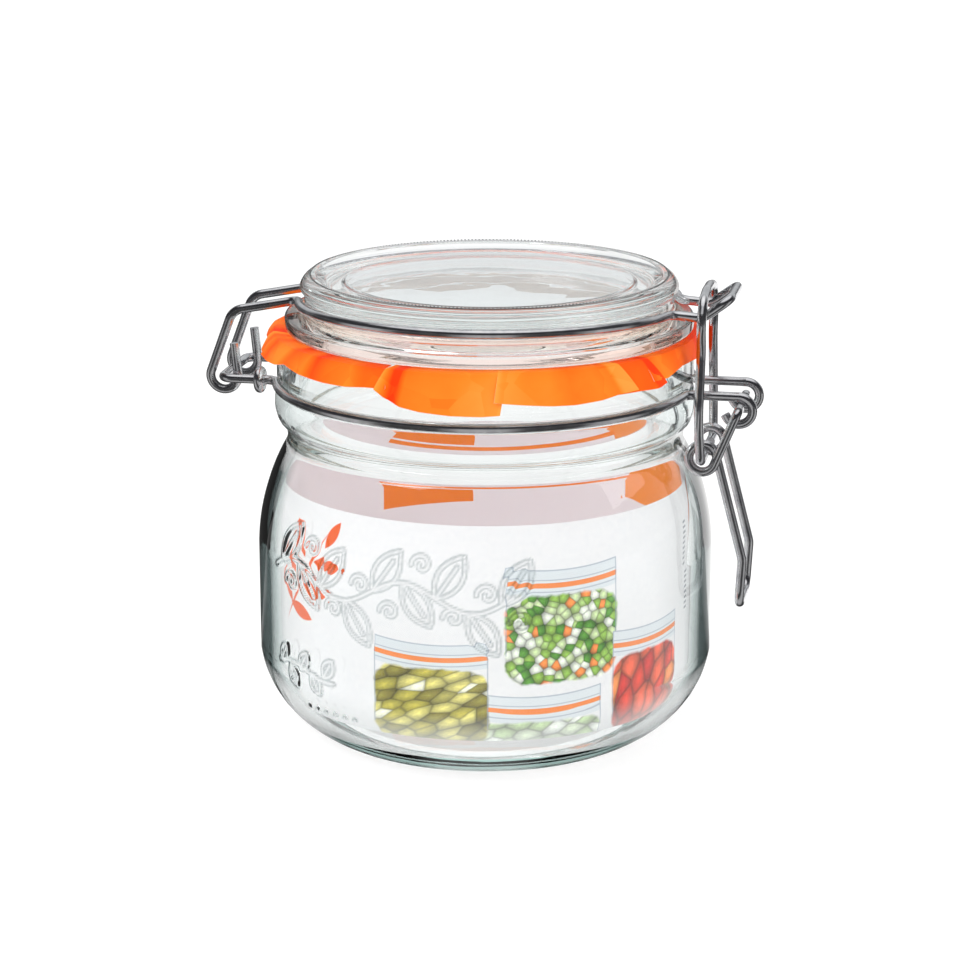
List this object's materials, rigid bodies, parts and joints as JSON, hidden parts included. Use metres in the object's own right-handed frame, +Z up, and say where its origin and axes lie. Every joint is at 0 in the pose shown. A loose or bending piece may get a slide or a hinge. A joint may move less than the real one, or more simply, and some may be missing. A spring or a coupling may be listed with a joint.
{
  "type": "clip-top glass jar",
  "caption": "Round clip-top preserving jar of clear glass with a hinged glass lid held by a steel wire clasp, a pleated paper ring under the lid and a rolled leaflet inside.",
  "frame": {"origin": "middle of the base on the jar's axis, on the surface it stands on", "axes": "+Z up along the jar's axis, +X towards the clasp, hinge on -X"},
  "size_m": [0.1258, 0.1046, 0.1053],
  "materials": {
    "jar_glass": "clear polished glass",
    "lid_glass": "clear polished glass",
    "steel_wire": "bright drawn steel wire",
    "orange_paper": "smooth bright orange paper",
    "leaflet_paper": "printed leaflet paper"
  },
  "bodies": {
    "root": {"jar": "jar_glass", "neck_wire": "steel_wire", "frill": "orange_paper", "leaflet": "leaflet_paper"},
    "lid": {"lid": "lid_glass", "lid_wire": "steel_wire"},
    "lever": {"lever": "steel_wire"},
    "bail": {"bail": "steel_wire"}
  },
  "joints": [
    {"name": "lid_hinge", "type": "hinge", "parent": "root", "child": "lid", "pos_m": [-0.05895, 0, 0.0806], "axis": [0, -1, 0], "range_deg": [0, 100]},
    {"name": "lever_hinge", "type": "hinge", "parent": "root", "child": "lever", "pos_m": [0.05845, 0, 0.0775], "axis": [0, -1, 0], "range_deg": [0, 100]},
    {"name": "bail_hinge", "type": "hinge", "parent": "lever", "child": "bail", "pos_m": [0.05075, 0, 0.0666], "axis": [0, -1, 0], "range_deg": [-150, 0]}
  ],
  "couplings": [
    {"joint": "lever_hinge", "follows": "lid_hinge", "ratio": 1},
    {"joint": "bail_hinge", "follows": "lid_hinge", "ratio": -1.5}
  ]
}
